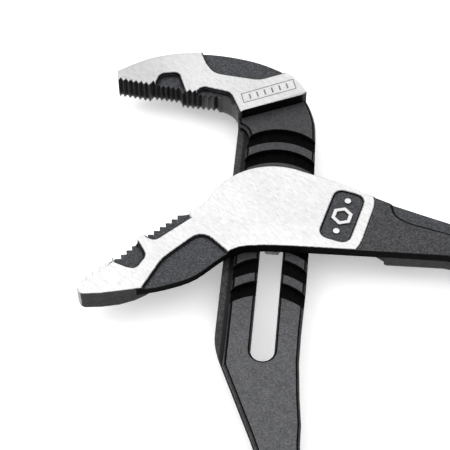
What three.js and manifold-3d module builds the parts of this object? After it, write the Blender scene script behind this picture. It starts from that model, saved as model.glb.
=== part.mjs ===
// Tongue and groove pliers, 10 inch class, wide open on the third of eight grooves.
// Millimetres, +Z up through the thickness of the tool; the slot runs along Y, with the upper jaw
// at +Y. The pieces are drawn on the shank's back face, and the whole tool is then lowered, so that
// the origin is on the pivot's axis in the plane of the pale ground faces.
import * as THREE from 'three';
import { mergeVertices } from 'three/addons/utils/BufferGeometryUtils.js';
import Module from 'manifold-3d';

const wasm = await Module();
wasm.setup();

// ---- driving dimensions ---------------------------------------------------------------------
const GAP = 0.3;              // clearance between neighbouring pieces
const FULL = 8.2;             // thickness of the jaws, back face to pale ground face
const RIB_TOP = 4.5;          // thickness of the shank, at the top of its ribs
const GROOVE_FLOOR = 2.5;     // height of the groove floors
const STRIP_TOP = 2.2;        // height of the low margin on the jaw side of the shank
const PLATE_BOTTOM = 4.9;     // underside of the head plate, just clear of the ribs

const PITCH = 7.7;            // from groove to groove
const GROOVES = 8;            // number of settings
const REST_GROOVE = 2;        // the pivot rests level with this one, counted from the jaw
const BEARING_R = 16.6;       // groove's loaded wall, centred on the pivot
const RELIEF_R = 15.2;        // groove's far wall
const RELIEF_UP = 6.27;       // centre of the far wall, above the pivot
const SLOT_HALF = 3.2;        // half the width of the slot
const SLOT_SPARE = 0.8;       // slot beyond the pivot's last positions

const SHANK_LEFT = -13.2;     // outer edge of the low margin
const RIB_LEFT = -10.2;       // where the ribs end on the jaw side
const SHANK_RIGHT = 10.4;
const HEAD_R = 20;            // round head plate about the pivot
const TONGUE_IN = 16.9;       // tongue, an arc about the pivot
const TONGUE_OUT = 19.4;
const TONGUE_FROM = 137;      // degrees, clear of the ribs while the tool is wide open
const TONGUE_TO = 172;
const CLOSE = THREE.MathUtils.degToRad(56);   // swing from wide open to closed

const TOOTH_DEPTH = 1.1;
const POCKET_DEPTH = 1.7;     // side pockets behind the teeth
const PANEL_DEPTH = 1.0;      // dark panels on the backs of the jaws
const BADGE_DEPTH = 0.5;
const HANDLE_DROP = 0.4;      // dark handle below the pale ground face
const HANDLE_PANEL_DEPTH = 1.0;
const SLOPE = 0.5;            // width of the sloping edges round the sunken fields
const HANDLE_SLOPE = 0.8;
const RIM = 1.0;              // rounding of the shank's outer edges
const SLOT_RIM = 0.75;        // and of its slot

const STUD_R = 2.5;           // pivot stud in the slot
const BORE_R = STUD_R + GAP;  // holes that it passes through
const FLANGE_R = 4.7;         // stud's flange, set blind in the head plate
const BUSH_FLAT = 0.7;        // half the length of the flats on the bush that slides in the slot

const GRIP_MID = 4.1;         // height of the grips' middle plane
const GRIP_HALF = 9.5;        // half the thickness of a grip at its fullest
const CORE_HALF = 6.6;        // half the thickness of the hard core
const SEAM = 1.6;             // half the width of core that shows between the two soft pads
const INLAY_HALF = 2.4;
const TANG_HALF = 4.6;

// ---- shapes and solids ----------------------------------------------------------------------
const turned = (x, y, angle) => [
  x * Math.cos(angle) - y * Math.sin(angle),
  x * Math.sin(angle) + y * Math.cos(angle),
];

// Points of an arc about (cx, cy), angles in degrees.
function arc(cx, cy, radius, from, to, steps = 12) {
  const points = [];
  for (let i = 0; i <= steps; i += 1) {
    const angle = THREE.MathUtils.degToRad(from + ((to - from) * i) / steps);
    points.push([cx + radius * Math.cos(angle), cy + radius * Math.sin(angle)]);
  }
  return points;
}

// Points of a smooth curve through a few places.
function smooth(places, steps = 12) {
  const curve = new THREE.SplineCurve(places.map(([x, y]) => new THREE.Vector2(x, y)));
  return curve.getSpacedPoints(steps).map((point) => [point.x, point.y]);
}

// Saw teeth from a to b: a long flank, then a steep one. side is +1 to cut to the left of a to b.
function teeth(a, b, count, side) {
  const start = new THREE.Vector2(...a);
  const run = new THREE.Vector2(...b).sub(start);
  const inward = new THREE.Vector2(-run.y, run.x).setLength(TOOTH_DEPTH * side);
  const points = [];
  for (let i = 0; i < count; i += 1) {
    const tip = start.clone().addScaledVector(run, i / count);
    const root = start.clone().addScaledVector(run, (i + 0.62) / count).add(inward);
    points.push([tip.x, tip.y], [root.x, root.y]);
  }
  points.push(b);
  return points;
}

// A closed outline; a corner given as [x, y, radius] is rounded.
function outline(corners) {
  const shape = new THREE.Shape();
  corners.forEach(([x, y, radius = 0], i) => {
    const here = new THREE.Vector2(x, y);
    const before = new THREE.Vector2(...corners.at(i - 1)).sub(here);
    const after = new THREE.Vector2(...corners[(i + 1) % corners.length]).sub(here);
    const reach = Math.min(radius, before.length() / 2, after.length() / 2);
    const entry = here.clone().add(before.setLength(reach));
    const leave = here.clone().add(after.setLength(reach));
    if (i === 0) shape.moveTo(entry.x, entry.y);
    else shape.lineTo(entry.x, entry.y);
    if (reach > 0) shape.quadraticCurveTo(x, y, leave.x, leave.y);
  });
  return shape;
}

function solid(geometry) {
  geometry.deleteAttribute('normal');
  geometry.deleteAttribute('uv');
  const merged = mergeVertices(geometry, 1e-4);
  return new wasm.Manifold(new wasm.Mesh({
    numProp: 3,
    vertProperties: new Float32Array(merged.attributes.position.array),
    triVerts: new Uint32Array(merged.index.array),
  }));
}

// An outline pulled up from one height to another, with its rims rounded by bevel.
function prism(corners, bottom, top, bevel = 0) {
  const geometry = new THREE.ExtrudeGeometry(outline(corners), {
    depth: top - bottom - 2 * bevel,
    bevelEnabled: bevel > 0,
    bevelThickness: bevel,
    bevelSize: bevel,
    bevelOffset: -bevel,
    bevelSegments: 3,
    curveSegments: 4,
  });
  geometry.translate(0, 0, bottom + bevel);
  return solid(geometry);
}

// A cutter for the sloping edge round an opening: it spreads over the last drop below top.
function flare(corners, top, spread, drop) {
  const geometry = new THREE.ExtrudeGeometry(outline(corners), {
    depth: 1,
    bevelThickness: drop,
    bevelSize: spread,
    bevelSegments: 1,
    curveSegments: 4,
  });
  geometry.translate(0, 0, top);
  return solid(geometry);
}

// A sunken field with sloping edges.
const recess = (corners, top, depth, slope = SLOPE) => prism(corners, top - depth, top + 1)
  .add(flare(corners, top, slope, 0.8 * Math.min(slope, depth)));

// A rounded edge in two facets, cut round an opening in the shank's top.
const easedEdge = (corners, size) => flare(corners, RIB_TOP, size, 0.35 * size)
  .add(flare(corners, RIB_TOP, 0.45 * size, size));

// A round piece on the pivot's axis, with a bore through it where one is given.
function turnedPiece(radius, bottom, top, bore = 0, segments = 40) {
  const profile = bore > 0
    ? [[bore, bottom], [radius, bottom], [radius, top], [bore, top], [bore, bottom]]
    : [[0, bottom], [radius, bottom], [radius, top], [0, top]];
  const geometry = new THREE.LatheGeometry(profile.map((p) => new THREE.Vector2(...p)), segments);
  geometry.rotateX(Math.PI / 2);
  return solid(geometry);
}

// ---- materials ------------------------------------------------------------------------------
const paint = (color, metalness, roughness) => ({ color, metalness, roughness });
const FORGED = paint(0x55555a, 0.6, 0.55);
const BRIGHT = paint(0xb9bbbd, 0.9, 0.35);
const HARD_GRIP = paint(0x2b2c2f, 0.0, 0.5);
const SOFT_GRIP = paint(0x1b1b1d, 0.0, 0.8);

const pliers = new THREE.Group();
function addPiece(name, body, look) {
  const mesh = body.getMesh();
  const geometry = new THREE.BufferGeometry();
  geometry.setAttribute('position', new THREE.BufferAttribute(mesh.vertProperties, 3));
  geometry.setIndex(new THREE.BufferAttribute(mesh.triVerts, 1));
  geometry.computeVertexNormals();
  const piece = new THREE.Mesh(geometry, new THREE.MeshStandardMaterial(look));
  piece.name = name;
  pliers.add(piece);
}

// ---- upper jaw lever: jaw, slotted and grooved shank, tang -----------------------------------
const THROAT = [-12.2, 40];           // inner end of the jaw's pale face
const SHOULDER = [5.9, 48.2];         // outer end of its straight lower edge
const UPPER_TIP = [-50.3, 48.4];
const CLEAR = 40;                     // a cutter's reach beyond the piece

const upperBack = smooth(
  [[-50.9, 52.2], [-40.5, 58.6], [-26.4, 61.9], [-11.7, 60.6], [-0.7, 56.3], [5.4, 50.4], [9.1, 41.8],
    [10, 33.4]],
  34,
);
const upperTeeth = [
  ...teeth([-40.9, 47.2], UPPER_TIP, 6, -1).reverse(),
  ...teeth([-31.3, 47.3], [-40.4, 48], 6, -1).reverse(),
  ...teeth([-19.6, 45.1], [-30.8, 45.7], 7, -1).reverse(),
];
const throatCurve = smooth([[-18.4, 45.2], [-15.6, 43.7], [-13.9, 41.4], [SHANK_LEFT, 38.4]], 6);

// The centre lines of the two handles.
const UPPER_RUN = [[5.7, -65.1], [9.6, -84], [12, -100], [13.5, -122], [13.2, -146], [11, -168],
  [9.2, -180]];
const LOWER_RUN = [[49, -0.9], [68.4, -3.8], [89.8, -7.4], [110.8, -11.8], [130.4, -18], [148.4, -26.7],
  [163, -35.6], [175.6, -44.4]];

// Points down one side of a centre line, out by width(s) for s from 0 to 1.
function side(run, width, hand, steps = 16, from = 0, to = 1) {
  const curve = new THREE.SplineCurve(run.map(([x, y]) => new THREE.Vector2(x, y)));
  const points = [];
  for (let i = 0; i <= steps; i += 1) {
    const s = from + ((to - from) * i) / steps;
    const at = curve.getPointAt(s);
    const ahead = curve.getTangentAt(s);
    points.push([at.x - hand * ahead.y * width(s), at.y + hand * ahead.x * width(s)]);
  }
  return points;
}

const tangHalf = () => TANG_HALF;
const shankSides = [
  ...throatCurve,
  [SHANK_LEFT, -36.6, 3],
  [-11.7, -41.4, 2],
  [-1.1, -65.1],
  ...side(UPPER_RUN, tangHalf, -1, 14, 0.09, 0.96),
  ...side(UPPER_RUN, tangHalf, 1, 14, 0.09, 0.96).reverse(),
  [11.8, -66.3],
  [11.7, -60.5],
  [10.8, -52.4],
  [10, -42],
  [10, -32],
  [SHANK_RIGHT, -18],
  [SHANK_RIGHT, 20.5],
  ...upperBack.toReversed().slice(0, 14),
];

function groove(k) {
  const level = (REST_GROOVE - k) * PITCH;
  const reach = SHANK_RIGHT + 1;
  const spread = (radius) => THREE.MathUtils.radToDeg(Math.asin(reach / radius));
  const far = spread(RELIEF_R);
  const near = spread(BEARING_R);
  return prism([
    ...arc(0, level + RELIEF_UP, RELIEF_R, 90 + far, 90 - far, 14),
    ...arc(0, level, BEARING_R, 90 - near, 90 + near, 14),
  ], GROOVE_FLOOR, FULL);
}

const FIRST_PIVOT = REST_GROOVE * PITCH;
const LAST_PIVOT = (REST_GROOVE - GROOVES + 1) * PITCH;

// Pockets beside the teeth of the upper jaw, open towards the work, and the panel on its back.
const UPPER_POCKETS = [
  [[-28.6, 42], [-30, 46], [-32.8, 52.9, 1.2], [-37.7, 52, 1.2], [-39.1, 47.1], [-41, 42]],
  [[-12.2, 38], [-14.6, 42.4], [-16.5, 46.4, 1.2], [-24.8, 48, 1.2], [-26.5, 45.5], [-27, 42]],
];
const UPPER_PANEL = [[-27.4, 66], [-25.9, 61.3], [-24.3, 57.7], [-22.5, 55.1, 1], [-20.5, 54, 1],
  [-8.3, 52.8, 1.5], [0.6, 56.9], [6, 60]];

// Down to the shank's top everywhere below the jaw; the pale face ends in a rounded corner.
const BELOW_JAW = [THROAT, [...SHOULDER, 1.6], [8.4, 52], [CLEAR, 60], [CLEAR, -220], [-CLEAR, -220],
  [-CLEAR, 39.6], [THROAT[0], 39.6]];
const LOW_MARGIN = [[RIB_LEFT, 31.4], [RIB_LEFT, -44.6], [RIB_LEFT - 3, -51], [-CLEAR, -51], [-CLEAR, 37.8],
  [-13.4, 37.8, 1], [-10.8, 36.6, 1.4], [-9.4, 33.6, 1.4]];
// The margin stops short of the jaw, whose metal is whole above its throat.
const JAW_KEPT = [THROAT, [-CLEAR, 28], [-CLEAR, 80], [10, 80]];

const SLOT = [
  ...arc(0, FIRST_PIVOT + SLOT_SPARE, SLOT_HALF, 0, 180),
  ...arc(0, LAST_PIVOT - SLOT_SPARE, SLOT_HALF, 180, 360),
];

const upperJaw = prism([...upperTeeth, ...shankSides, ...upperBack.toReversed().slice(14)], 0, FULL)
  .subtract(prism(BELOW_JAW, -1, FULL + 1))
  .subtract(recess(UPPER_PANEL, FULL, PANEL_DEPTH));
let upperLever = prism([...shankSides, [-10, 50]], 0, RIB_TOP, RIM)
  .add(upperJaw)
  .subtract(prism(LOW_MARGIN, STRIP_TOP, FULL + 1).add(easedEdge(LOW_MARGIN, RIM))
    .subtract(prism(JAW_KEPT, 0, FULL + 2)))
  .subtract(prism(SLOT, -1, FULL + 1))
  .subtract(easedEdge(SLOT, SLOT_RIM));
for (const pocket of UPPER_POCKETS) upperLever = upperLever.subtract(recess(pocket, FULL, POCKET_DEPTH));
for (let k = 0; k < GROOVES; k += 1) upperLever = upperLever.subtract(groove(k));
addPiece('upper_jaw_lever', upperLever, FORGED);

// ---- lower jaw lever: head plate over the shank, jaw, tang, tongue ---------------------------
const lowerTeeth = [
  ...teeth([-51.2, -24.6], [-43.4, -16], 5, -1),
  ...teeth([-42.6, -15.2], [-37.3, -8.9], 4, -1),
  ...teeth([-36.2, -7.6], [-27.2, 1.2], 6, -1),
];
const headArc = arc(0, 0, HEAD_R, 163, 70, 24);
const lowerOutline = [
  [-51.7, -26.3, 1],
  ...lowerTeeth,
  [-24.8, 1.5, 1],
  [-22.2, 2.6, 1.5],
  ...headArc,
  [17.8, 15.7],
  [27.8, 11.6],
  [32.4, 9.9],
  ...side(LOWER_RUN, () => 5.6, 1, 2, 0, 0.04),
  ...side(LOWER_RUN, tangHalf, 1, 14, 0.09, 0.96),
  ...side(LOWER_RUN, tangHalf, -1, 14, 0.09, 0.96).reverse(),
  ...side(LOWER_RUN, () => 5.6, -1, 2, 0, 0.04).reverse(),
  [24, -7],
  [5.6, -7.4],
  ...smooth([[-1.8, -7.8], [-9, -9.1], [-13.6, -12.6], [-20.3, -19.3], [-27.3, -22.9], [-33.7, -25],
    [-44.9, -27.8]], 20),
  [-50.3, -28.5, 1],
];

// Everything below the head plate keeps off the shank from wide open to closed.
const jawSide = SHANK_LEFT - 0.4;
const heel = [jawSide, (jawSide - jawSide * Math.cos(CLOSE)) / Math.sin(CLOSE)];
const alongClosed = turned(0, CLEAR, CLOSE);
const jawZone = [heel, [-18, -11.8], [-25, -17.5], [-30.5, -20.4], [-33, -22.8], [-36, -24.8], [-40, -26.6],
  [-44, -60], [-70, -60], [-70, 30], [heel[0] + alongClosed[0], heel[1] + alongClosed[1]]];
const handleZone = [[31.6, -12], [31.4, -5.7], [22, 0], [16, 3.8], [16, 24], [200, 24], [200, -80],
  [31.6, -80]];

const LOWER_POCKETS = [
  [[-44, -12], [-42.6, -17, 0.4], [-38.6, -18.4, 1], [-36.6, -18.5, 1], [-34.4, -14.2, 1.4], [-37, -10.2],
    [-42, -6]],
  [[-38, -4], [-34.6, -7.8], [-32.4, -8.7, 1.4], [-23.4, -0.1], [-25.6, 8]],
];
const LOWER_PANEL = [[-33.6, -25], [-29.3, -15.1, 2], [-21, -6.3, 2.5], [-18, -6.2, 2.5], [-11.4, -11.8],
  [-15, -24], [-28, -34], [-36, -34]];
const HANDLE_TOP = [[27.2, 14], [28.5, 9.6, 2.4], [25, -4.6, 1.6], [22.6, -9], [40, -14], [200, -80],
  [200, 24]];
const HANDLE_PANEL = [[33.1, 15], [33, 9.4], [33.8, 6.2, 2.5], [37.6, 4, 3], [60, -1.4], [60, 15]];

// A plain badge: a sunken round-cornered field that leans with the end of the pale face, with a
// raised hexagon ring between two round studs.
const BADGE_MID = [18.9, 4.1];
const BADGE_TURN = THREE.MathUtils.degToRad(75.5);
const onBadge = (along, across) => {
  const [x, y] = turned(along, across, BADGE_TURN);
  return [BADGE_MID[0] + x, BADGE_MID[1] + y];
};
const badgeField = [[-8.3, -4.1], [8.3, -4.1], [8.3, 4.1], [-8.3, 4.1]]
  .map(([u, v]) => [...onBadge(u, v), 2.6]);
const hexagon = (radius) => arc(...BADGE_MID, radius, 15.5, 315.5, 5);
const badgeStud = (along) => prism(arc(...onBadge(along, 0), 0.9, 0, 345, 23), FULL - 1, FULL);
const badge = recess(badgeField, FULL, BADGE_DEPTH)
  .subtract(prism(hexagon(3.2), FULL - 1, FULL).subtract(prism(hexagon(1.9), FULL - 1, FULL + 1)))
  .subtract(badgeStud(5.5))
  .subtract(badgeStud(-5.5));

let lowerLever = prism(lowerOutline, 0, FULL);
lowerLever = lowerLever.subtract(
  prism([[-90, -90], [230, -90], [230, 40], [-90, 40]], -1, PLATE_BOTTOM)
    .subtract(prism(jawZone, -2, FULL))
    .subtract(prism(handleZone, -2, FULL)),
);
lowerLever = lowerLever
  .add(prism([
    ...arc(0, 0, TONGUE_OUT, TONGUE_FROM, TONGUE_TO, 8),
    ...arc(0, 0, TONGUE_IN, TONGUE_TO, TONGUE_FROM, 8),
  ], GROOVE_FLOOR + 0.4, PLATE_BOTTOM + 0.5))
  .subtract(turnedPiece(FLANGE_R + GAP, PLATE_BOTTOM - 1, PLATE_BOTTOM + 1.7))
  .subtract(recess(LOWER_PANEL, FULL, PANEL_DEPTH))
  .subtract(recess(HANDLE_TOP, FULL, HANDLE_DROP))
  .subtract(recess(HANDLE_PANEL, FULL - HANDLE_DROP, HANDLE_PANEL_DEPTH - HANDLE_DROP, HANDLE_SLOPE))
  .subtract(badge);
for (const pocket of LOWER_POCKETS) lowerLever = lowerLever.subtract(recess(pocket, FULL, POCKET_DEPTH));
addPiece('lower_jaw_lever', lowerLever, FORGED);

// ---- pivot ----------------------------------------------------------------------------------
// The stack behind the shank, from its back face outwards, is thin enough to stay under the head.
const STACK_GAP = 0.25;
const KEEPER_TOP = -GAP;
const KEEPER = 0.8;
const SPRING_TOP = KEEPER_TOP - KEEPER - STACK_GAP;
const SPRING = 0.4;
const NUT_TOP = SPRING_TOP - SPRING - STACK_GAP;
const NUT = 1.3;
const NECK_R = 1.6;           // stud behind the shank
const NECK_BORE = NECK_R + GAP;
const FLANGE = 1.4;

const plateOutline = (half, long, radius) => [[-half, -long, radius], [half, -long, radius],
  [half, long, radius], [-half, long, radius]];

addPiece('pivot_stud', turnedPiece(STUD_R, 0, PLATE_BOTTOM + 0.5)
  .add(turnedPiece(NECK_R, NUT_TOP - NUT - 0.2, 0.5))
  .add(turnedPiece(FLANGE_R, PLATE_BOTTOM, PLATE_BOTTOM + FLANGE)), BRIGHT);
addPiece('slot_bush', prism([
  ...arc(0, BUSH_FLAT, SLOT_HALF - GAP, 0, 180),
  ...arc(0, -BUSH_FLAT, SLOT_HALF - GAP, 180, 360),
], 0.2, RIB_TOP - 0.1).subtract(turnedPiece(BORE_R, -1, RIB_TOP + 1)), BRIGHT);
addPiece('thrust_plate', prism(plateOutline(6.6, 3.5, 1.6), KEEPER_TOP - KEEPER, KEEPER_TOP, 0.15)
  .subtract(turnedPiece(NECK_BORE, KEEPER_TOP - KEEPER - 1, 1)), BRIGHT);
addPiece('spring_washer', turnedPiece(3.1, SPRING_TOP - SPRING, SPRING_TOP, NECK_BORE), BRIGHT);
addPiece('pivot_nut', prism(arc(0, 0, 3.5, 0, 300, 5), NUT_TOP - NUT, NUT_TOP, 0.2)
  .subtract(turnedPiece(NECK_BORE, NUT_TOP - NUT - 1, NUT_TOP + 1)), BRIGHT);

// ---- handle grips ---------------------------------------------------------------------------
// A smooth profile through [s, value] pairs, read at s.
function profile(pairs) {
  return (s) => {
    const i = Math.max(1, pairs.findIndex(([at]) => at >= s));
    const [s0, v0] = pairs[i - 1];
    const [s1, v1] = pairs[i];
    const t = THREE.MathUtils.smoothstep(s, s0, s1);
    return v0 + (v1 - v0) * t;
  };
}

const GRIP_START = 0.1;       // along the handle's centre line
const CAP_START = 0.955;
const palmSide = profile([[0, 6.6], [0.12, 7.6], [0.4, 10.6], [0.75, 10.8], [1, 8.6]]);
const fingerSide = profile([[0, 6.6], [0.12, 7.4], [0.24, 9.4], [0.36, 9], [0.6, 10.6], [0.8, 9.6],
  [1, 9.4]]);
const coreSide = profile([[0, 6.4], [0.4, 7.6], [0.8, 7.4], [1, 6.6]]);
const halfThick = profile([[0, 6.8], [0.3, 8.8], [0.6, GRIP_HALF], [0.85, 9.2], [1, 7.4]]);

// The band of a run between two offsets from its centre line.
const band = (run, from, to, left, right, steps = 22) => [
  ...side(run, left, 1, steps, from, to),
  ...side(run, right, -1, steps, from, to).reverse(),
];

// The grip's side view, pulled right across the handle to give its thickness from end to end.
function thicknessOf(run, half, alongX, from, to) {
  const curve = new THREE.SplineCurve(run.map(([x, y]) => new THREE.Vector2(x, y)));
  const upper = [];
  const lower = [];
  const steps = 14;
  for (let i = 0; i <= steps; i += 1) {
    const s = from + ((to - from) * i) / steps;
    const at = curve.getPointAt(s);
    const along = alongX ? at.x : at.y;
    const reach = i === 0 ? along - Math.sign(along) * 6 : along;
    const past = i === steps ? along + Math.sign(along) * 14 : reach;
    upper.push([past, GRIP_MID + half(s)]);
    lower.push([past, GRIP_MID - half(s)]);
  }
  const ring = [...upper, ...lower.reverse()];
  const wall = prism(ring, -120, 120);
  return alongX ? wall.rotate([90, 0, 0]) : wall.rotate([90, 0, 0]).rotate([0, 0, 90]);
}

function addGrips(prefix, run, alongX, palmHand) {
  const palm = palmHand > 0 ? 1 : -1;
  const roomHalf = () => TANG_HALF + GAP;
  const tangRoom = prism(band(run, 0, 0.972, roomHalf, roomHalf, 24), -GAP, FULL + GAP);
  const tang = alongX ? tangRoom : tangRoom.subtract(
    prism([[-60, -230], [60, -230], [60, 0], [-60, 0]], RIB_TOP + GAP, FULL + 2),
  );
  const core = prism(band(run, GRIP_START, CAP_START, coreSide, coreSide), GRIP_MID - CORE_HALF,
    GRIP_MID + CORE_HALF, 1.2);
  const coreTop = GRIP_MID + CORE_HALF;
  const inlayRing = (grow) => {
    const half = () => INLAY_HALF + 40 * grow;
    return band(run, 0.5 - grow, 0.72 + grow, half, half, 8);
  };
  const inlay = prism(inlayRing(0), coreTop - 1.2, coreTop + 0.3);
  addPiece(`${prefix}_grip_core`, core.subtract(tang)
    .subtract(prism(inlayRing(0.0075), coreTop - 1.5, coreTop + 2)), HARD_GRIP);
  addPiece(`${prefix}_grip_inlay`, inlay, FORGED);

  const room = prism(band(run, GRIP_START - 0.02, CAP_START + 0.02, (s) => coreSide(s) + GAP,
    (s) => coreSide(s) + GAP), GRIP_MID - CORE_HALF - GAP, GRIP_MID + CORE_HALF + GAP, 1.2);
  const thick = thicknessOf(run, halfThick, alongX, GRIP_START, CAP_START);
  const seam = (s) => -SEAM - 1.4 * Math.sin(Math.PI * s);
  const palmPad = prism(band(run, GRIP_START + 0.012, CAP_START, palm > 0 ? palmSide : seam,
    palm > 0 ? seam : palmSide), GRIP_MID - 10, GRIP_MID + 10, 2.6);
  const fingerPad = prism(band(run, GRIP_START + 0.012, CAP_START, palm > 0 ? seam : fingerSide,
    palm > 0 ? fingerSide : seam), GRIP_MID - 10, GRIP_MID + 10, 2.6);
  addPiece(`${prefix}_grip_palm_pad`, palmPad.intersect(thick).subtract(room), SOFT_GRIP);
  addPiece(`${prefix}_grip_finger_pad`, fingerPad.intersect(thick).subtract(room), SOFT_GRIP);

  const cap = prism(band(run, CAP_START + 0.004, 1, palmSide, fingerSide, 2),
    GRIP_MID - 7.6, GRIP_MID + 7.6, 1.6);
  addPiece(`${prefix}_grip_end_cap`, cap.subtract(tang), HARD_GRIP);
}
addGrips('upper', UPPER_RUN, false, -1);
addGrips('lower', LOWER_RUN, true, 1);

pliers.position.z = -FULL;
export default pliers;
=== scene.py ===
"""Looks of the tongue and groove pliers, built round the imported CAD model.

The two forged levers start from their CAD shapes and get forging draft, softened rims and one
material for each kind of surface. The grips are lofted here in the places of their CAD nodes. The
pivot's CAD nodes are kept and given a material. Lengths are in millimetres unless a name ends in _m.
"""
import math

import bmesh
import bpy
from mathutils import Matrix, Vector


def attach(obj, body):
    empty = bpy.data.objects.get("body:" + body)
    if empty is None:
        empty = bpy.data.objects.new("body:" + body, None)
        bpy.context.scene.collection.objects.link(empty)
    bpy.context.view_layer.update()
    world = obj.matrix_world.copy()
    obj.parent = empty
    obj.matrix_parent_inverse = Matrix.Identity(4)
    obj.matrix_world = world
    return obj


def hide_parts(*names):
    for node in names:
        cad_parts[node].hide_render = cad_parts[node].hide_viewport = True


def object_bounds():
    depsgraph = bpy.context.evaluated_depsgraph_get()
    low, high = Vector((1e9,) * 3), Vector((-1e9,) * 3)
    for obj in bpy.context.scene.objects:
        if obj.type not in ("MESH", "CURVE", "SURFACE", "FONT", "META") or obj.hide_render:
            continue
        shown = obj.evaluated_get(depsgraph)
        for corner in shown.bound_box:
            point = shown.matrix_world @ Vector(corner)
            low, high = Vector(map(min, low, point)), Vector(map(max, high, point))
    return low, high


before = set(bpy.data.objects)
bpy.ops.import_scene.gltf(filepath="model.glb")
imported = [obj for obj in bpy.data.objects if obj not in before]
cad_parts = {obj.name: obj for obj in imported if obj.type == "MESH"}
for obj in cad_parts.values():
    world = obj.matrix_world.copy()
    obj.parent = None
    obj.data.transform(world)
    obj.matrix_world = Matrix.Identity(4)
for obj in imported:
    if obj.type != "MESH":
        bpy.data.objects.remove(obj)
cad_low, cad_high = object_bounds()

MM = 0.001

# ---- heights in the tool, below the pale ground faces ------------------------------------------
RIB_TOP = -3.7
GROOVE_FLOOR = -5.7
MARGIN_TOP = -6.0         # low margin on the jaw side of the shank
HANDLE_TOP = -0.4
POCKET_FLOOR = -1.7
PANEL_FLOOR = -1.0
BADGE_FLOOR = -0.5
BACK = -8.2
PARTING = -6.6            # forging's parting line on the outer walls
PLATE_BACK = -3.3         # underside of the head plate
GRIP_MID = -4.1           # middle plane of the grips


# ---- material nodes ----------------------------------------------------------------------------
def new_material(name):
    material = bpy.data.materials.new(name)
    material.use_nodes = True
    return material, material.node_tree, material.node_tree.nodes["Principled BSDF"]


def add_node(tree, kind, values=None, **settings):
    """A node with its settings; each value is a constant or the socket that feeds it."""
    node = tree.nodes.new(kind)
    for key, value in settings.items():
        setattr(node, key, value)
    for key, value in (values or {}).items():
        if isinstance(value, bpy.types.NodeSocket):
            tree.links.new(value, node.inputs[key])
        else:
            node.inputs[key].default_value = value
    return node


def place_mm(tree, scale=(1, 1, 1), turn=0.0):
    """Position on the piece in millimetres, stretched and turned about Z."""
    place = add_node(tree, "ShaderNodeTexCoord").outputs["Object"]
    turned = add_node(tree, "ShaderNodeMapping", {
        "Vector": place, "Rotation": (0, 0, math.radians(turn))})
    stretched = add_node(tree, "ShaderNodeVectorMath", {
        0: turned.outputs["Vector"], 1: [s / MM for s in scale]}, operation="MULTIPLY")
    return stretched.outputs["Vector"]


def noise(tree, vector, scale, detail=3.0, roughness=0.55):
    return add_node(tree, "ShaderNodeTexNoise", {
        "Vector": vector, "Scale": scale, "Detail": detail, "Roughness": roughness}).outputs["Fac"]


def ramp(tree, fac, stops):
    """A colour ramp through (position, grey or colour) stops."""
    node = add_node(tree, "ShaderNodeValToRGB", {"Fac": fac})
    elements = node.color_ramp.elements
    while len(elements) < len(stops):
        elements.new(0.5)
    for element, (position, colour) in zip(elements, stops):
        element.position = position
        element.color = (*colour, 1) if isinstance(colour, tuple) else (colour, colour, colour, 1)
    return node.outputs["Color"]


def spread(tree, fac, low, high):
    return add_node(tree, "ShaderNodeMapRange", {
        "Value": fac, "From Min": 0.3, "From Max": 0.7, "To Min": low, "To Max": high}).outputs["Result"]


def multiply(tree, first, second):
    node = add_node(tree, "ShaderNodeMix", data_type="RGBA", blend_type="MULTIPLY")
    node.inputs[0].default_value = 1.0
    tree.links.new(first, node.inputs[6])
    tree.links.new(second, node.inputs[7])
    return node.outputs[2]


def bump(tree, shader, height, depth_mm):
    node = add_node(tree, "ShaderNodeBump", {
        "Height": height, "Distance": depth_mm * MM, "Strength": 1.0})
    tree.links.new(node.outputs["Normal"], shader.inputs["Normal"])


def drifting(tree, colour, drift):
    """Slow change of tone; drift is (axis, from mm, to mm, tone at the first, tone at the second)."""
    if not drift:
        return colour
    axis, first, last, low, high = drift
    place = add_node(tree, "ShaderNodeSeparateXYZ", {"Vector": place_mm(tree)}).outputs[axis]
    tone = add_node(tree, "ShaderNodeMapRange", {
        "Value": place, "From Min": first, "From Max": last, "To Min": low, "To Max": high,
    }, interpolation_type="SMOOTHSTEP").outputs["Result"]
    return multiply(tree, colour, tone)


SCRATCH_TURN = 38         # degrees, slant of the grinding scratches


def ground_steel(name, tone, drift=None):
    """Pale face, ground with slanting scratches and left with a light haze."""
    material, tree, shader = new_material(name)
    fine = noise(tree, place_mm(tree, (0.09, 1, 1), SCRATCH_TURN), 7.0, 4.0)
    broad = noise(tree, place_mm(tree, (0.25, 1, 1), SCRATCH_TURN), 1.1, 3.0)
    haze = noise(tree, place_mm(tree), 0.045, 2.0)
    scratched = ramp(tree, fine, [(0.30, 0.54 * tone), (0.45, 0.76 * tone), (0.62, 0.84 * tone)])
    banded = ramp(tree, broad, [(0.25, 0.86), (0.6, 1.0)])
    hazed = ramp(tree, haze, [(0.3, 0.90), (0.6, 1.0)])
    colour = multiply(tree, multiply(tree, scratched, banded), hazed)
    tree.links.new(drifting(tree, colour, drift), shader.inputs["Base Color"])
    tree.links.new(spread(tree, fine, 0.46, 0.30), shader.inputs["Roughness"])
    shader.inputs["Metallic"].default_value = 0.85
    bump(tree, shader, fine, 0.012)
    return material


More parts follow.
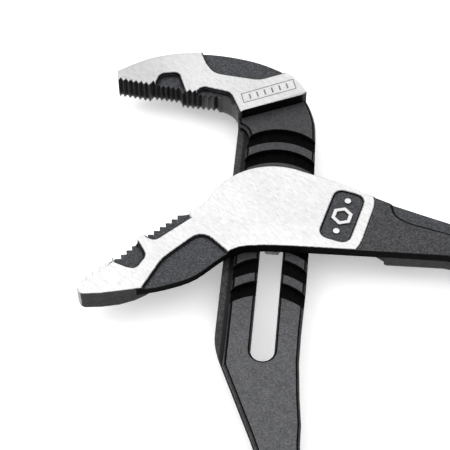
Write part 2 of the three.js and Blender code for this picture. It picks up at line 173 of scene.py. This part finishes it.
def forged_steel(name, dark, light, rough, grain_mm=0.045, shine=0.3, drift=None, speckle=1.0):
    """Dark finish over a forged skin: mottled, with a fine grain as strong as speckle."""
    material, tree, shader = new_material(name)
    mottle = noise(tree, place_mm(tree), 0.7, 5.0, 0.65)
    grain = noise(tree, place_mm(tree), 1.9, 2.0, 0.6)
    colour = ramp(tree, mottle, [(0.32, dark), (0.68, light)])
    specks = ramp(tree, grain, [
        (0.36, 0.64 - 0.32 * speckle), (0.5, 0.64), (0.64, 0.64 + 0.5 * speckle)])
    colour = multiply(tree, colour, specks)
    tree.links.new(drifting(tree, colour, drift), shader.inputs["Base Color"])
    tree.links.new(spread(tree, grain, rough - 0.07, rough + 0.1), shader.inputs["Roughness"])
    shader.inputs["Metallic"].default_value = 0.2
    shader.inputs["Specular IOR Level"].default_value = shine
    bump(tree, shader, grain, grain_mm)
    return material


def turned_steel():
    """Machined pivot steel with fine rings about the axis."""
    material, tree, shader = new_material("turned_steel")
    rings = add_node(tree, "ShaderNodeTexWave", {
        "Vector": place_mm(tree), "Scale": 1.4, "Distortion": 0.6, "Detail": 2.0},
        wave_type="RINGS", rings_direction="Z").outputs["Fac"]
    mottle = noise(tree, place_mm(tree), 1.3)
    tree.links.new(ramp(tree, mottle, [(0.3, 0.16), (0.7, 0.30)]), shader.inputs["Base Color"])
    tree.links.new(spread(tree, rings, 0.32, 0.42), shader.inputs["Roughness"])
    shader.inputs["Metallic"].default_value = 0.9
    bump(tree, shader, rings, 0.01)
    return material


def moulded(name, dark, light, rough, grain_per_mm, grain_mm):
    """Moulded plastic or rubber with a spark-eroded grain."""
    material, tree, shader = new_material(name)
    tone = noise(tree, place_mm(tree), 0.12, 3.0)
    grain = noise(tree, place_mm(tree), grain_per_mm, 2.0)
    tree.links.new(ramp(tree, tone, [(0.3, dark), (0.7, light)]), shader.inputs["Base Color"])
    tree.links.new(spread(tree, grain, rough - 0.06, rough + 0.08), shader.inputs["Roughness"])
    bump(tree, shader, grain, grain_mm)
    return material


# Painted shade: the upper lever's pale face is painted darker towards the jaw tip, from x -24 to x -50.
UPPER_GROUND = ground_steel("ground_steel_upper_painted_shade", 0.90, ("X", -50, -24, 0.82, 1.0))
LOWER_GROUND = ground_steel("ground_steel_lower", 1.0)
# Painted shade: upright walls get a far darker copy of the forged steel than the flats, in place of the
# shade that falls on them.
WALL = forged_steel("forged_wall_painted_shade", (0.013, 0.013, 0.014), (0.034, 0.034, 0.037), 0.6)
# Painted shade: the shank's flats are painted darker next to the head (y -8) and lighter further down
# the shank (y -42).
SHANK = forged_steel("forged_shank_painted_shade", (0.075, 0.076, 0.080), (0.125, 0.126, 0.134), 0.5, 0.05,
                     drift=("Y", -8, -42, 0.66, 1.24), speckle=0.55)
HANDLE = forged_steel("forged_handle", (0.048, 0.048, 0.052), (0.080, 0.081, 0.087), 0.5, 0.06)
POCKET = forged_steel("forged_recess", (0.050, 0.052, 0.058), (0.085, 0.088, 0.097), 0.55, 0.06)
# Painted shade: over its last 0.6 mm against the ribs' wall (x -11.7 to -11.1), the margin darkens
# almost to black.
MARGIN = forged_steel("forged_margin_painted_shade", (0.040, 0.040, 0.043), (0.064, 0.065, 0.069), 0.55,
                      drift=("X", -11.7, -11.1, 1.0, 0.06))
SHADE = forged_steel("forged_shade", (0.0015, 0.0015, 0.0015), (0.005, 0.005, 0.005), 0.8,
                     shine=0.05)
RIM = forged_steel("forged_rim", (0.030, 0.030, 0.033), (0.056, 0.056, 0.060), 0.5)
# Painted shade: the upright faces of the teeth get a near-black copy of the forged steel, with lower
# roughness so they catch highlights.
TOOTH = forged_steel("tooth_steel_painted_shade", (0.010, 0.010, 0.011), (0.026, 0.026, 0.028), 0.36, 0.02, 0.45)
EDGE = forged_steel("bare_edge", (0.24, 0.24, 0.25), (0.50, 0.50, 0.51), 0.38, 0.015)
PIVOT = turned_steel()
HARD = moulded("hard_plastic", (0.020, 0.020, 0.022), (0.032, 0.032, 0.034), 0.42, 3.0, 0.02)
INLAY = moulded("inlay_plastic", (0.17, 0.17, 0.18), (0.23, 0.23, 0.24), 0.45, 3.0, 0.02)
SOFT = moulded("soft_rubber", (0.010, 0.010, 0.011), (0.018, 0.018, 0.019), 0.68, 2.2, 0.04)
ETCHED = moulded("etched_mark", (0.13, 0.12, 0.11), (0.20, 0.19, 0.18), 0.6, 4.0, 0.005)


def new_piece(name, bm, materials, body):
    """Turns a finished bmesh into a piece that rides on a body."""
    mesh = bpy.data.meshes.new(name)
    bm.to_mesh(mesh)
    bm.free()
    for material in materials:
        mesh.materials.append(material)
    piece = bpy.data.objects.new(name, mesh)
    bpy.context.scene.collection.objects.link(piece)
    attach(piece, body)
    return piece


# ---- forged levers -----------------------------------------------------------------------------
# Kinds of surface, numbered as their materials are in forging().
(IS_WALL, IS_GROUND, IS_FLAT, IS_POCKET, IS_MARGIN,
 IS_SHADE, IS_RIM, IS_TOOTH, IS_NOSE, IS_EDGE) = range(10)
MERGE = 0.02              # CAD points closer than this are one point
FLUSH_ANGLE = math.radians(0.4)   # CAD faces that meet at less than this become one face
FINE_RIM = 0.13           # rounding of every outer edge that the CAD leaves sharp
SHORTEST_RIM = 0.55       # edges shorter than this stay sharp
RIM_ANGLE = math.radians(28)      # and so do edges that turn less than this
BARE_DEPTH = 0.3          # bare steel shows on rims down to this depth
# Ends of the lower jaw's pockets that are ground bright with its face.
POCKET_ENDS = (Vector((-24.0, 1.7)), Vector((-43.2, -15.9)))
POCKET_END_REACH = 1.5


def flat_at(face, *levels):
    """Whether a face lies flat at one of the levels."""
    height = face.calc_center_median().z / MM
    return face.normal.z > 0.99 and any(abs(height - level) < 0.06 for level in levels)


def upright(face):
    return abs(face.normal.z) < 0.5


def sloping(face):
    return 0.15 < face.normal.z < 0.99


def split_at(bm, height):
    geometry = bm.verts[:] + bm.edges[:] + bm.faces[:]
    bmesh.ops.bisect_plane(bm, geom=geometry, plane_co=(0, 0, height * MM), plane_no=(0, 0, 1))


def lean_walls(bm, draft):
    """Splits the outer walls at the parting line and pulls their lower edges in."""
    split_at(bm, PARTING)
    bm.normal_update()
    moves = []
    for vert in bm.verts:
        walls = [f.normal.copy() for f in vert.link_faces if abs(f.normal.z) < 0.3]
        if walls and vert.co.z < (BACK + 0.1) * MM:
            outward = sum(walls, Vector()).normalized()
            moves.append((vert, -outward * draft * MM / max(0.5, outward.dot(walls[0]))))
    for vert, move in moves:
        vert.co += Vector((move.x, move.y, 0))


def forging(node, name, body, ground, flat, kind_of_face, draft):
    """A lever's CAD shape with draft below the parting line and softened edges."""
    bm = bmesh.new()
    bm.from_mesh(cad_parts[node].data)
    bmesh.ops.remove_doubles(bm, verts=bm.verts, dist=MERGE * MM)
    bmesh.ops.dissolve_limit(bm, angle_limit=FLUSH_ANGLE, verts=bm.verts, edges=bm.edges)
    split_at(bm, PLATE_BACK)
    lean_walls(bm, draft)
    bm.normal_update()
    for face in bm.faces:
        face.material_index = kind_of_face(face)
    rims = [e for e in bm.edges if e.is_manifold and e.calc_length() > SHORTEST_RIM * MM
            and e.calc_face_angle_signed() > RIM_ANGLE]
    bmesh.ops.bevel(bm, geom=rims, offset=FINE_RIM * MM, offset_type="OFFSET", segments=2,
                    profile=0.5, affect="EDGES", clamp_overlap=False, material=IS_EDGE)
    for face in bm.faces:
        centre = face.calc_center_median() / MM
        if face.material_index == IS_EDGE and centre.z < -BARE_DEPTH:
            face.material_index = IS_WALL
        if centre.z > POCKET_FLOOR + 0.1 and any(
                (centre.xy - end).length < POCKET_END_REACH for end in POCKET_ENDS):
            face.material_index = IS_GROUND
    materials = (WALL, ground, flat, POCKET, MARGIN, SHADE, RIM, TOOTH, EDGE, EDGE)
    piece = new_piece(name, bm, materials, body)
    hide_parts(node)


def upper_face(face):
    """The kind of surface, from a face's height, slope and place on the upper lever."""
    centre = face.calc_center_median() / MM
    if flat_at(face, 0):
        return IS_GROUND
    if flat_at(face, POCKET_FLOOR, PANEL_FLOOR):
        return IS_POCKET
    if flat_at(face, RIB_TOP):
        return IS_FLAT
    if flat_at(face, MARGIN_TOP):
        return IS_MARGIN
    if flat_at(face, GROOVE_FLOOR):
        return IS_SHADE
    if sloping(face):
        return IS_SHADE if face.normal.z > 0.8 or centre.z > RIB_TOP else IS_RIM
    in_mouth = centre.x < -12.5 and 38 < centre.y < 51
    if upright(face) and in_mouth:
        return IS_TOOTH
    in_grooves = abs(centre.x) < 12.3 and centre.y < 48 and centre.z > GROOVE_FLOOR - 0.5
    if upright(face) and in_grooves:
        return IS_SHADE
    return IS_WALL


def lower_face(face):
    """The kind of surface, from a face's height, slope and place on the lower lever."""
    centre = face.calc_center_median() / MM
    if flat_at(face, 0):
        return IS_GROUND
    if flat_at(face, POCKET_FLOOR, PANEL_FLOOR, BADGE_FLOOR):
        return IS_POCKET
    if flat_at(face, HANDLE_TOP):
        return IS_FLAT
    if sloping(face):
        return IS_SHADE
    at_tip = centre.x < -50.2 and centre.y < -24
    if upright(face) and at_tip:
        return IS_NOSE
    on_plate_edge = centre.z > PLATE_BACK and centre.x > -36
    if upright(face) and on_plate_edge:
        return IS_SHADE
    return IS_WALL


forging("upper_jaw_lever", "upper_lever_forging", "upper_lever", UPPER_GROUND, SHANK,
        upper_face, draft=0.3)
forging("lower_jaw_lever", "lower_lever_forging", "lower_lever", LOWER_GROUND, HANDLE,
        lower_face, draft=0.8)

for node in ("pivot_stud", "slot_bush", "thrust_plate", "spring_washer", "pivot_nut"):
    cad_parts[node].data.materials.clear()
    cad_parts[node].data.materials.append(PIVOT)


# ---- etched frame on the upper jaw: a plain slanting box with six ticks -------------------------
ETCH_CORNERS = [(-13.1, 46.3), (-12.0, 43.0), (3.0, 50.0), (1.8, 53.5)]
ETCH_HEIGHT = 0.015       # above the pale face
ETCH_LINE = 0.28
ETCH_TICK = 0.5
ETCH_TICKS = 6


def etched_strip(bm, start, end, width):
    """A flat line from start to end, a hair above the pale face."""
    start, end = Vector(start), Vector(end)
    along = (end - start).normalized()
    aside = Vector((-along.y, along.x)) * width / 2
    corners = [start + aside, start - aside, end - aside, end + aside]
    bm.faces.new([bm.verts.new((c.x * MM, c.y * MM, ETCH_HEIGHT * MM)) for c in corners])


etching = bmesh.new()
for i, corner in enumerate(ETCH_CORNERS):
    etched_strip(etching, corner, ETCH_CORNERS[(i + 1) % 4], ETCH_LINE)
for i in range(ETCH_TICKS):
    share = (i + 1) / (ETCH_TICKS + 1)
    foot = Vector(ETCH_CORNERS[1]).lerp(Vector(ETCH_CORNERS[2]), share)
    head = Vector(ETCH_CORNERS[0]).lerp(Vector(ETCH_CORNERS[3]), share)
    etched_strip(etching, foot.lerp(head, 0.22), foot.lerp(head, 0.78), ETCH_TICK)
new_piece("etched_frame", etching, [ETCHED], "upper_lever")


# ---- grips -------------------------------------------------------------------------------------
# Each handle's centre line, and how far the grip stands from it along its length. Places along a
# handle are shares of that length, from 0 at the head to 1 at the end.
UPPER_RUN = [(5.7, -65.1), (9.6, -84), (12, -100), (13.5, -122), (13.2, -146), (11, -168),
             (9.2, -180)]
LOWER_RUN = [(49, -0.9), (68.4, -3.8), (89.8, -7.4), (110.8, -11.8), (130.4, -18), (148.4, -26.7),
             (163, -35.6), (175.6, -44.4)]
PALM = [(0, 6.6), (0.12, 7.6), (0.4, 10.6), (0.75, 10.8), (1, 8.6)]
FINGERS = [(0, 6.6), (0.12, 7.4), (0.24, 9.4), (0.36, 9), (0.6, 10.6), (0.8, 9.6), (1, 9.4)]
CORE = [(0, 6.4), (0.4, 7.6), (0.8, 7.4), (1, 6.6)]
THICK = [(0, 6.8), (0.3, 8.8), (0.6, 9.5), (0.85, 9.2), (1, 7.4)]

RUN_STEPS = 600           # points along a handle
CORE_START, CAP_START = 0.1, 0.955
PAD_START = CORE_START + 0.012
CAP_GAP = 0.004
CORE_HALF = 6.6           # half thicknesses
CAP_HALF = 7.6
GAP = 0.3                 # between the core and the pads
SEAM, SEAM_SWELL = 1.6, 1.4   # half the gap between the pads, and its growth at mid length
ROUND_END = 0.02          # length over which a pad, inlay or core rounds off

INLAY_START, INLAY_LENGTH, INLAY_HALF = 0.5, 0.22, 2.4
INLAY_FOOT, INLAY_SHOULDER, INLAY_TOP = 5.4, 6.6, 6.9
INLAY_SPARE = 0.003       # keeps the inlay's ends from closing to a point

PAD_STEPS, PAD_AROUND, PAD_INSIDE = 260, 32, 12
PAD_NARROWER, PAD_THINNER = 1.2, 0.9   # a pad at its very ends
RIB_PITCH, RIB_HEIGHT = 0.026, 0.55
RIB_FADE = 0.02           # length over which the ribs rise and fade out
RIB_NARROWING = 1.15      # how fast the ribs fade round the pad
RIB_REACH = 1.36          # radians round the pad at which they have gone
PALM_RIBS, FINGER_RIBS = (0.30, 0.86), (0.42, 0.78)


def profile(pairs, s):
    """Smooth value through (place, value) pairs that end at place 1."""
    for (s0, v0), (s1, v1) in zip(pairs, pairs[1:]):
        if s <= s1 or s1 == 1:
            t = min(1, max(0, (s - s0) / (s1 - s0)))
            return v0 + (v1 - v0) * t * t * (3 - 2 * t)


def run_points(run):
    """A Catmull-Rom line through the run's places, as evenly spaced points and headings."""
    raw = []
    for i in range(len(run) - 1):
        places = [Vector(run[max(0, min(len(run) - 1, i + j))]) for j in (-1, 0, 1, 2)]
        for k in range(80):
            t = k / 80
            pull, push = (places[2] - places[0]) / 2, (places[3] - places[1]) / 2
            raw.append(places[1] * (2 * t**3 - 3 * t**2 + 1) + pull * (t**3 - 2 * t**2 + t)
                       + places[2] * (3 * t**2 - 2 * t**3) + push * (t**3 - t**2))
    raw.append(Vector(run[-1]))
    lengths = [0.0]
    for before, after in zip(raw, raw[1:]):
        lengths.append(lengths[-1] + (after - before).length)
    points, at = [], 0
    for i in range(RUN_STEPS + 1):
        goal = lengths[-1] * i / RUN_STEPS
        while at < len(raw) - 2 and lengths[at + 1] < goal:
            at += 1
        share = (goal - lengths[at]) / (lengths[at + 1] - lengths[at])
        points.append((raw[at].lerp(raw[at + 1], share), (raw[at + 1] - raw[at]).normalized()))
    return points


def station(points, s):
    return points[round(min(1, max(0, s)) * (len(points) - 1))]


def bent(value, power):
    """A sine or cosine raised to a power with its sign kept, for rounded-square sections."""
    return math.copysign(abs(value) ** power, value)


def lofted(name, points, sections, material, body, node, soft_edge=0.0):
    """Skins closed rings of (s, [(offset, height), ...]) and closes both ends."""
    bm = bmesh.new()
    rings = []
    for s, ring in sections:
        place, ahead = station(points, s)
        aside = Vector((-ahead.y, ahead.x))
        rings.append([bm.verts.new(((place.x + aside.x * u) * MM, (place.y + aside.y * u) * MM,
                                    (GRIP_MID + w) * MM)) for u, w in ring])
    for one, other in zip(rings, rings[1:]):
        for i in range(len(one)):
            bm.faces.new((one[i - 1], one[i], other[i], other[i - 1]))
    bm.faces.new(rings[0][::-1])
    bm.faces.new(rings[-1])
    bmesh.ops.recalc_face_normals(bm, faces=bm.faces)
    for face in bm.faces:
        face.smooth = len(face.verts) == 4
    piece = new_piece(name, bm, [material], body)
    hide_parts(node)
    if soft_edge:
        rims = piece.modifiers.new("soft edges", "BEVEL")
        rims.limit_method = "ANGLE"
        rims.angle_limit = math.radians(42)
        rims.width = soft_edge * MM
        rims.segments = 2


def ease(s, start, end):
    """0 at start and end, rising to 1 in a quarter round over ROUND_END."""
    t = min(1, max(0, min(s - start, end - s) / ROUND_END))
    return math.sqrt(1 - (1 - t) ** 2)


def rib_depth(s, angle, first, last):
    """Cross ribs moulded into the pad between first and last, fading round its sides."""
    window = min(1, max(0, (s - first) / RIB_FADE)) * min(1, max(0, (last - s) / RIB_FADE))
    fade = max(0, math.cos(angle * RIB_NARROWING)) ** 0.5 if abs(angle) < RIB_REACH else 0
    wave = 0.5 - 0.5 * math.cos(2 * math.pi * s / RIB_PITCH)
    return RIB_HEIGHT * window * fade * wave**2


def pad_section(s, hand, widths, ribs):
    """Ring of a soft pad: its crowned outside, then the inside that lies on the core."""
    swell = ease(s, PAD_START, CAP_START)
    seam = SEAM + SEAM_SWELL * math.sin(math.pi * s)
    width = profile(widths, s) - PAD_NARROWER * (1 - swell)
    thick = profile(THICK, s) - PAD_THINNER * (1 - swell)
    inner, inner_thick = profile(CORE, s) + GAP, CORE_HALF + GAP
    limit = math.acos((seam / width) ** 1.3)
    ring = []
    for i in range(PAD_AROUND + 1):
        angle = limit * (2 * i / PAD_AROUND - 1)
        dip = 1 - rib_depth(s, angle, *ribs) / width
        ring.append((hand * width * dip * bent(math.cos(angle), 0.77),
                     thick * dip * bent(math.sin(angle), 0.77)))
    inner_limit = math.acos((seam / inner) ** 2)
    for i in range(PAD_INSIDE + 1):
        angle = inner_limit * (1 - 2 * i / PAD_INSIDE)
        ring.append((hand * inner * bent(math.cos(angle), 0.5),
                     inner_thick * bent(math.sin(angle), 0.5)))
    return ring


def oval(half_left, half_right, half_thick, power, count=40):
    """Ring of a rounded-square section with its own width to each side."""
    ring = []
    for i in range(count):
        angle = 2 * math.pi * i / count
        wide = half_left if math.cos(angle) > 0 else half_right
        ring.append((wide * bent(math.cos(angle), power), half_thick * bent(math.sin(angle), power)))
    return ring


def core_section(s):
    shrink = 0.8 + 0.2 * ease(s, CORE_START, 2.0)
    half = profile(CORE, s) * shrink
    return oval(half, half, CORE_HALF * shrink, 0.5)


def inlay_section(s):
    """A strip let into the core, with its two upper edges chamfered."""
    half = INLAY_HALF * ease(s, INLAY_START - INLAY_SPARE, INLAY_START + INLAY_LENGTH + INLAY_SPARE)
    inset = INLAY_TOP - INLAY_SHOULDER
    return [(-half, INLAY_FOOT), (half, INLAY_FOOT), (half, INLAY_SHOULDER),
            (half - inset, INLAY_TOP), (inset - half, INLAY_TOP), (-half, INLAY_SHOULDER)]


def cap_section(s, t, palm):
    """Section of the domed end cap, t being 0 at its joint with the pads and 1 at its end."""
    left, right = (PALM, FINGERS) if palm > 0 else (FINGERS, PALM)
    dome = math.sqrt(max(0.0, 1 - (t * 0.96) ** 3.2))
    lip = 1 - 0.06 * (1 - min(1, t / 0.08))
    size = dome * lip
    return oval(profile(left, s) * size, profile(right, s) * size, CAP_HALF * size, 0.7)


def grip(prefix, run, palm, body):
    """Hard core, inlay, two soft pads and an end cap along one handle.

    palm is 1 where the palm side is to the left of the way to the handle's end, and -1 otherwise.
    """
    points = run_points(run)
    steps = [CORE_START + (CAP_START - CORE_START) * i / 60 for i in range(61)]
    lofted(f"{prefix}_grip_spine", points, [(s, core_section(s)) for s in steps], HARD, body,
           f"{prefix}_grip_core")

    steps = [INLAY_START + INLAY_LENGTH * i / 20 for i in range(21)]
    lofted(f"{prefix}_grip_inlay_strip", points, [(s, inlay_section(s)) for s in steps], INLAY, body,
           f"{prefix}_grip_inlay")

    steps = [PAD_START + (CAP_START - PAD_START) * i / PAD_STEPS for i in range(PAD_STEPS + 1)]
    pads = (("palm", palm, PALM, PALM_RIBS), ("finger", -palm, FINGERS, FINGER_RIBS))
    for side, hand, widths, ribs in pads:
        lofted(f"{prefix}_grip_{side}_cushion", points,
               [(s, pad_section(s, hand, widths, ribs)) for s in steps], SOFT, body,
               f"{prefix}_grip_{side}_pad", soft_edge=0.5)

    shares = [i / 16 for i in range(17)]
    start = CAP_START + CAP_GAP
    sections = [(start + (1 - start) * t, t) for t in shares]
    lofted(f"{prefix}_grip_cap", points, [(s, cap_section(s, t, palm)) for s, t in sections], HARD,
           body, f"{prefix}_grip_end_cap")


grip("upper", UPPER_RUN, -1, "upper_lever")
grip("lower", LOWER_RUN, 1, "lower_lever")

# ---- floor, light and camera -------------------------------------------------------------------
FLOOR_HALF_M = 2.0
floor_z = cad_low.z - 0.0002
floor_mesh = bpy.data.meshes.new("floor")
floor_mesh.from_pydata(
    [(x * FLOOR_HALF_M, y * FLOOR_HALF_M, floor_z) for x, y in ((-1, -1), (1, -1), (1, 1), (-1, 1))],
    [], [(0, 1, 2, 3)])
floor = bpy.data.objects.new("floor", floor_mesh)
bpy.context.scene.collection.objects.link(floor)
floor_material, _, floor_shader = new_material("pale_floor")
floor_shader.inputs["Base Color"].default_value = (0.94, 0.94, 0.94, 1)
floor_shader.inputs["Roughness"].default_value = 0.9
floor_shader.inputs["Emission Color"].default_value = (1, 1, 1, 1)
floor_shader.inputs["Emission Strength"].default_value = 0.28
floor_mesh.materials.append(floor_material)

# The sky gets brighter from the horizon upwards.
world = bpy.data.worlds.new("studio")
bpy.context.scene.world = world
world.use_nodes = True
sky_tree = world.node_tree
background = sky_tree.nodes["Background"]
background.inputs["Color"].default_value = (1, 1, 1, 1)
sky = add_node(sky_tree, "ShaderNodeTexCoord").outputs["Generated"]
height = add_node(sky_tree, "ShaderNodeSeparateXYZ", {"Vector": sky}).outputs["Z"]
brightness = add_node(sky_tree, "ShaderNodeMapRange", {
    "Value": height, "From Min": 0.0, "From Max": 1.0, "To Min": 0.35, "To Max": 1.55})
sky_tree.links.new(brightness.outputs["Result"], background.inputs["Strength"])


def aim(thing, place, target):
    """Puts a light or camera at place, looking at target."""
    thing.location = place
    thing.rotation_mode = "QUATERNION"
    thing.rotation_quaternion = (target - place).to_track_quat("-Z", "Y")


key = bpy.data.lights.new("key", "AREA")
key.shape = "RECTANGLE"
key.size, key.size_y = 0.7, 0.7
key.energy = 3
key_lamp = bpy.data.objects.new("key", key)
bpy.context.scene.collection.objects.link(key_lamp)
aim(key_lamp, Vector((-0.7, 0.2, 0.8)), Vector((0, 0, 0)))

camera = bpy.data.objects.new("camera", bpy.data.cameras.new("camera"))
bpy.context.scene.collection.objects.link(camera)
camera.data.lens = 120
camera.data.sensor_width = 36
camera.data.clip_start = 0.01
aim(camera, Vector((9.36, -246.73, 338.11)) * MM, Vector((-13.68, 0.54, -3.7)) * MM)
bpy.context.scene.camera = camera
bpy.context.scene.view_settings.view_transform = "Standard"
